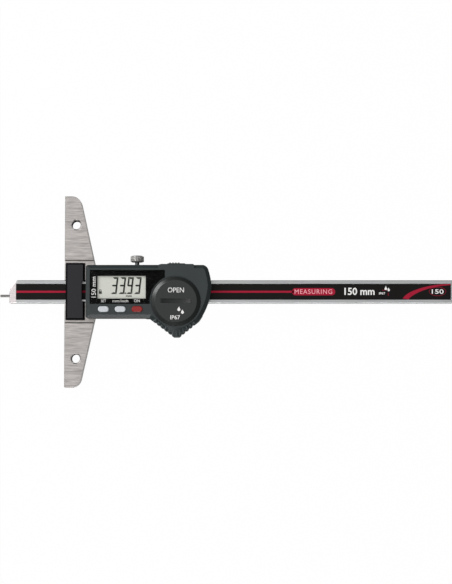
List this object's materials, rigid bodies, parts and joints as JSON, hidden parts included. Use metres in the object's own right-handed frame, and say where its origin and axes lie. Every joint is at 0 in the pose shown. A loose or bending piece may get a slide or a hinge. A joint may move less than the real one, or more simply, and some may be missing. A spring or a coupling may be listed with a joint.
{
  "type": "digital depth caliper",
  "caption": "Digital depth caliper: a steel bridge with a measuring face, an electronic slide with a display and a thumb rest, and a flat depth rod with a thin pin that slides through both.",
  "frame": {"origin": "in the plane of the bridge's measuring face, on the rod's centre line, at the level of the back that the instrument lies on", "axes": "+X along the rod, from the measuring face to the rod's tail; +Y along the bridge, towards the lock screw; +Z out of the display"},
  "size_m": [0.2369, 0.1, 0.0161],
  "materials": {
    "ground_steel": "fine ground",
    "pin_steel": "ground",
    "black_steel": "satin black",
    "screw_steel": "machined",
    "spring_steel": "rolled",
    "shoe_brass": "turned",
    "nickel": "satin nickel plated",
    "housing_plastic": "fine matt texture",
    "cover_plastic": "fine matt texture",
    "key_white": "satin",
    "key_red": "satin",
    "lens_clear": "clear",
    "adhesive_black": "film",
    "display_glass": "liquid crystal display",
    "holder_white": "moulded",
    "seal_rubber": "moulded",
    "wiper_felt": "felt",
    "board_green": "glass fibre board",
    "label_black": "printed film",
    "part_black": "moulded",
    "part_can": "nickel plated",
    "part_ceramic": "fired",
    "contact_gold": "gold plated"
  },
  "bodies": {
    "instrument": {"bridge": "ground_steel", "guide_plate": "black_steel", "guide_plate_screws": "screw_steel", "bridge_screws": "screw_steel", "slide_body": "ground_steel", "back_plate": "ground_steel", "back_plate_screws": "screw_steel", "gib": "spring_steel", "gib_set_screws": "screw_steel", "housing": "housing_plastic", "housing_seal": "seal_rubber", "housing_screws": "screw_steel", "front_wiper": "wiper_felt", "rear_wiper": "wiper_felt", "display_lens": "lens_clear", "lens_gasket": "adhesive_black", "lcd_panel": "display_glass", "lcd_holder": "holder_white", "zebra_strips": "seal_rubber", "main_board": "board_green", "sensor_board": "board_green", "processor_chip": "part_black", "quartz_crystal": "part_can", "board_capacitors": "part_ceramic", "dome_switches": "spring_steel", "keypad_seal": "seal_rubber", "battery": "part_can", "contact_leaf": "spring_steel", "contact_clip": "spring_steel", "data_connector": "part_black", "data_contacts": "contact_gold"},
    "rod": {"depth_rod": "ground_steel", "measuring_pin": "pin_steel", "scale_strip": "board_green", "scale_foil": "label_black", "rod_stop_screw": "screw_steel"},
    "clamp": {"clamp_shoe": "shoe_brass"},
    "lock": {"lock_screw": "nickel"},
    "cover_ring": {"cover_seal": "seal_rubber"},
    "cover": {"battery_cover": "cover_plastic"},
    "set_key": {"set_button": "key_white"},
    "unit_key": {"unit_button": "key_white"},
    "on_key": {"on_button": "key_red"},
    "port_cover": {"data_port_cover": "cover_plastic"}
  },
  "joints": [
    {"name": "rod_slide", "type": "slide", "parent": "instrument", "child": "rod", "axis": [-1, 0, 0], "range_m": [-0.03393, 0.11607]},
    {"name": "clamp_advance", "type": "slide", "parent": "instrument", "child": "clamp", "axis": [0, -1, 0], "range_m": [-0.000225, 0.000225]},
    {"name": "lock_turn", "type": "hinge", "parent": "clamp", "child": "lock", "pos_m": [0.03775, 0, 0.0046], "axis": [0, -1, 0], "range_deg": [-180, 180]},
    {"name": "cover_lift", "type": "slide", "parent": "instrument", "child": "cover_ring", "axis": [0, 0, 1], "range_m": [0, 0.003]},
    {"name": "cover_turn", "type": "hinge", "parent": "cover_ring", "child": "cover", "pos_m": [0.0583, -0.0055, 0.015], "axis": [0, 0, 1], "range_deg": [0, 1080]},
    {"name": "set_press", "type": "slide", "parent": "instrument", "child": "set_key", "axis": [0, 0, -1], "range_m": [0, 0.0005], "stiffness_N_per_m": 1000},
    {"name": "unit_press", "type": "slide", "parent": "instrument", "child": "unit_key", "axis": [0, 0, -1], "range_m": [0, 0.0005], "stiffness_N_per_m": 1000},
    {"name": "on_press", "type": "slide", "parent": "instrument", "child": "on_key", "axis": [0, 0, -1], "range_m": [0, 0.0005], "stiffness_N_per_m": 1000},
    {"name": "port_cover_pull", "type": "slide", "parent": "instrument", "child": "port_cover", "axis": [0, 1, 0], "range_m": [0, 0.006]}
  ],
  "couplings": [
    {"joint": "lock_turn", "follows": "clamp_advance", "rad_per_m": 13962},
    {"joint": "cover_turn", "follows": "cover_lift", "rad_per_m": 6283}
  ]
}
